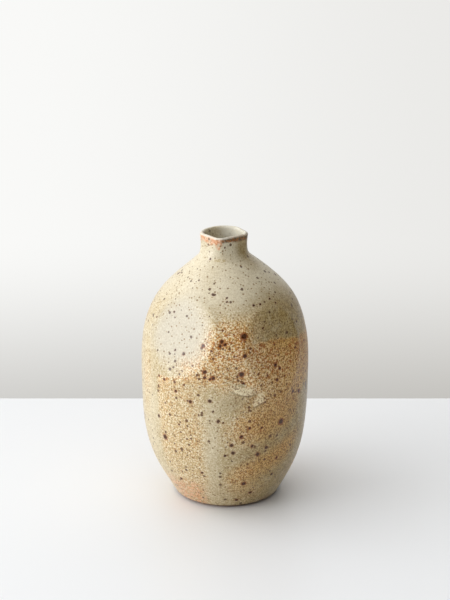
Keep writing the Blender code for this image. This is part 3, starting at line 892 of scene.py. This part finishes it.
def make_foot():
    """The clay floor: a trimmed foot ring round a shallow recess, both marked by the turning tool."""
    run = np.arange(0.0015, FOOT_RADIUS - FOOT_ROUNDING - FOOT_BULGE, 0.0004)
    step = ramp(run, FOOT_RING_INNER - 0.0022, FOOT_RING_INNER + 0.0008)
    marks = TOOL_MARK * (1.2 + np.sin(tau * run / TOOL_PITCH))
    edge = np.linspace(0, pi / 2, 6)
    edge_radius = FOOT_RADIUS - FOOT_ROUNDING + (FOOT_ROUNDING + FOOT_BULGE) * np.sin(edge)
    cover = GLAZE + GAP
    places = even_places(LOWER_CURVE, 0.0005)
    points, tangents = bezier(LOWER_CURVE, places)
    seat = float(np.interp(SEAT_HEIGHT, points[:, 1] + cover * tangents[:, 0], places))
    foot = Rings().add(run, RECESS_DEPTH * (1 - step) + marks)
    foot.add(edge_radius, FOOT_ROUNDING * (1 - np.cos(edge)))
    foot.wall(LOWER_CURVE, even_places(LOWER_CURVE, 0.0008, 0.0, seat), cover)
    foot.add((SEAT_INNER - GAP, SEAT_INNER - GAP), (SEAT_HEIGHT, FLOOR_TOP))
    points = vase_grid(foot, AROUND // 2)[0]
    rows = np.linspace(0.02, 0.92, len(points))
    piece = build_piece("foot_clay", points, False, bare_clay("turned_clay"), rows)
    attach(piece, "root")
    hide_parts("floor_slab")


def liner_face(cover, floor, spacing, throat):
    """Points of one face of the liner, from where it meets the floor up to the throat."""
    places = even_places(LOWER_CURVE, LINER_SPACING)
    points, tangents = bezier(LOWER_CURVE, places)
    level = points[:, 1] + (BODY_WALL - cover) * tangents[:, 0]
    start = float(np.interp(floor, level, places))
    rings = Rings().wall(LOWER_CURVE, even_places(LOWER_CURVE, spacing, start), cover=cover)
    rings.wall(UPPER_CURVE, even_places(UPPER_CURVE, spacing)[1:], cover=cover)
    rings.wall(NECK_CURVE, even_places(NECK_CURVE, spacing * 0.6, 0.0, throat)[1:], cover=cover)
    return vase_grid(rings, LINER_AROUND)[0]


def make_liner():
    throat = throat_place(THROAT_LINE - GAP)
    back = liner_face(GLAZE, FLOOR_TOP + GAP, LINER_BACK_SPACING, throat)
    front = liner_face(0.0, FLOOR_TOP + GAP + GLAZE, LINER_SPACING, throat)
    rows = np.concatenate((np.linspace(0.02, 0.05, len(back)), np.linspace(0.92, 0.08, len(front))))
    grid = np.concatenate((back, front[::-1]))
    liner = build_piece("liner_coat", grid, False, liner_glaze(), rows)
    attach(liner, "root")
    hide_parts("liner_glaze")


def finish_walls():
    """The thrown sections lie hidden under the glazes and keep their CAD shapes."""
    clay = bare_clay("bare_clay")
    for node in ("lower_wall", "upper_wall", "neck_collar"):
        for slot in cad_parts[node].material_slots:
            slot.material = clay


# ---------------------------------------------------------------- studio

# The camera: its distance from a point on the axis, that point's share of the vase's height, the angle
# that it looks down from, how far it is turned up from the point, and its lens and sensor in millimetres.
CAMERA = {"distance": 1.2, "middle": 0.47, "elevation": 21.1, "up": 2.08, "lens": 115, "sensor": 36}

# The table's reach to the front and sides, its straight edge behind the vase, and its slab, whose top is
# a hair below the foot.
TABLE_REACH = 2.5
TABLE_EDGE = 0.150
TABLE_TOP, TABLE_UNDERSIDE = -0.00002, -0.03
TABLE_COLOUR = (0.845, 0.85, 0.85)

# Light of the room by direction, the backdrop that the camera sees, with painted shade that darkens it low
# down and at the right, and the window and skylight at the left, which face a point about halfway up the
# vase.
ROOM_LEFT = (1.08, 1.08, 1.08)
ROOM_RIGHT = (0.075, 0.075, 0.073)
ROOM_BACK_LEFT = (1.15, 1.15, 1.14)
ROOM_BACK_RIGHT = (0.60, 0.60, 0.595)
ROOM_TOP = (1.30, 1.30, 1.30)
ROOM_TOP_TILT = radians(24)
BACKDROP_HIGH = (0.95, 0.95, 0.935)
BACKDROP_HIGH_RIGHT = (0.825, 0.82, 0.80)
BACKDROP_LOW = (0.55, 0.54, 0.515)
BACKDROP_LOW_RIGHT = (0.475, 0.46, 0.43)
LIT_HEIGHT = 0.09
WINDOW = {
    "azimuth": -69.0, "elevation": 13.0, "distance": 1.6, "size": (0.80, 0.92), "power": 9.6,
    "colour": (0.975, 1.0, 1.045),
}
SKYLIGHT = {
    "azimuth": -100.0, "elevation": 46.0, "distance": 1.6, "size": (0.85, 0.85), "power": 4.0,
    "colour": (0.95, 1.0, 1.08),
}


def make_table():
    """A pale, barely glossy table top that ends in a straight edge behind the vase."""
    mesh = bpy.data.meshes.new("table")
    reach = TABLE_REACH
    corners = [(-reach, -reach), (reach, -reach), (reach, TABLE_EDGE), (-reach, TABLE_EDGE)]
    verts = [(x, y, z) for z in (TABLE_TOP, TABLE_UNDERSIDE) for x, y in corners]
    faces = [(0, 1, 2, 3), (7, 6, 5, 4), (0, 4, 5, 1), (1, 5, 6, 2), (2, 6, 7, 3), (3, 7, 4, 0)]
    mesh.from_pydata(verts, [], faces)
    s = Shade("pale_table")
    mesh.materials.append(s.finish(TABLE_COLOUR, 0.38, s.bump(s.noise(30, 2), 0.0001, 0.05)))
    slab = bpy.data.objects.new("table", mesh)
    bpy.context.collection.objects.link(slab)


def blend(tree, share, first, second):
    """A mix of two tones, each a colour or a socket."""
    mix = tree.nodes.new("ShaderNodeMix")
    mix.data_type = "RGBA"
    tree.links.new(share, mix.inputs["Factor"])
    for socket, value in ((mix.inputs[6], first), (mix.inputs[7], second)):
        if isinstance(value, tuple):
            socket.default_value = (*value, 1)
        else:
            tree.links.new(value, socket)
    return mix.outputs[2]


def tone(tree, source, low, high, first, second):
    """The first tone where the source is under low, the second where it is over high, and eased between."""
    rise = tree.nodes.new("ShaderNodeMapRange")
    rise.interpolation_type = "SMOOTHSTEP"
    tree.links.new(source, rise.inputs["Value"])
    rise.inputs["From Min"].default_value = low
    rise.inputs["From Max"].default_value = high
    return blend(tree, rise.outputs["Result"], first, second)


def make_room():
    """A room that is bright at the left, behind and above, and the backdrop that only the camera sees."""
    world = bpy.data.worlds.new("backdrop")
    bpy.context.scene.world = world
    world.use_nodes = True
    tree = world.node_tree
    place = tree.nodes.new("ShaderNodeTexCoord")
    split = tree.nodes.new("ShaderNodeSeparateXYZ")
    tree.links.new(place.outputs["Generated"], split.inputs[0])
    across, along, up = split.outputs

    walls = tone(tree, across, -0.80, -0.10, ROOM_LEFT, ROOM_RIGHT)
    back = tone(tree, across, -0.75, 0.05, ROOM_BACK_LEFT, ROOM_BACK_RIGHT)
    around = tone(tree, along, 0.2, 0.8, walls, back)
    overhead = tree.nodes.new("ShaderNodeVectorMath")
    overhead.operation = "DOT_PRODUCT"
    tree.links.new(place.outputs["Generated"], overhead.inputs[0])
    overhead.inputs[1].default_value = (-sin(ROOM_TOP_TILT), 0.0, cos(ROOM_TOP_TILT))
    room = tone(tree, overhead.outputs["Value"], 0.25, 0.95, around, ROOM_TOP)

    # Painted shade: the backdrop darkens low down and towards the right.
    low = tone(tree, across, -0.13, 0.15, BACKDROP_LOW, BACKDROP_LOW_RIGHT)
    high = tone(tree, across, -0.13, 0.15, BACKDROP_HIGH, BACKDROP_HIGH_RIGHT)
    backdrop = tone(tree, up, -sin(radians(24.0)), -sin(radians(17.0)), low, high)
    path = tree.nodes.new("ShaderNodeLightPath")
    seen = blend(tree, path.outputs["Is Camera Ray"], room, backdrop)
    tree.links.new(seen, tree.nodes["Background"].inputs["Color"])


def area_light(name, light_plan):
    """A rectangle of light at an azimuth and elevation round the vase, facing it."""
    light = bpy.data.lights.new(name, "AREA")
    light.shape = "RECTANGLE"
    light.size, light.size_y = light_plan["size"]
    light.energy = light_plan["power"]
    light.color = light_plan["colour"]
    azimuth, elevation = radians(light_plan["azimuth"]), radians(light_plan["elevation"])
    away = Vector((sin(azimuth) * cos(elevation), -cos(azimuth) * cos(elevation), sin(elevation)))
    lamp = bpy.data.objects.new(name, light)
    lamp.location = Vector((0, 0, LIT_HEIGHT)) + away * light_plan["distance"]
    lamp.rotation_euler = away.to_track_quat("Z", "Y").to_euler()
    lamp.visible_camera = False
    bpy.context.collection.objects.link(lamp)


def make_camera():
    """A long lens at the front, looking down on the vase."""
    middle = Vector((0.0, 0.0, CAMERA["middle"] * HEIGHT))
    elevation = radians(CAMERA["elevation"])
    lens = bpy.data.cameras.new("camera")
    lens.lens = CAMERA["lens"]
    lens.sensor_width = CAMERA["sensor"]
    eye = bpy.data.objects.new("camera", lens)
    eye.location = middle + CAMERA["distance"] * Vector((0, -cos(elevation), sin(elevation)))
    eye.rotation_euler = (pi / 2 - elevation + radians(CAMERA["up"]), 0, 0)
    bpy.context.collection.objects.link(eye)
    bpy.context.scene.camera = eye


make_camera()
make_table()
make_room()
area_light("window", WINDOW)
area_light("skylight", SKYLIGHT)
make_outer_glaze()
make_liner()
make_foot()
finish_walls()
view = bpy.context.scene.view_settings
view.view_transform = "Standard"
view.look = "None"
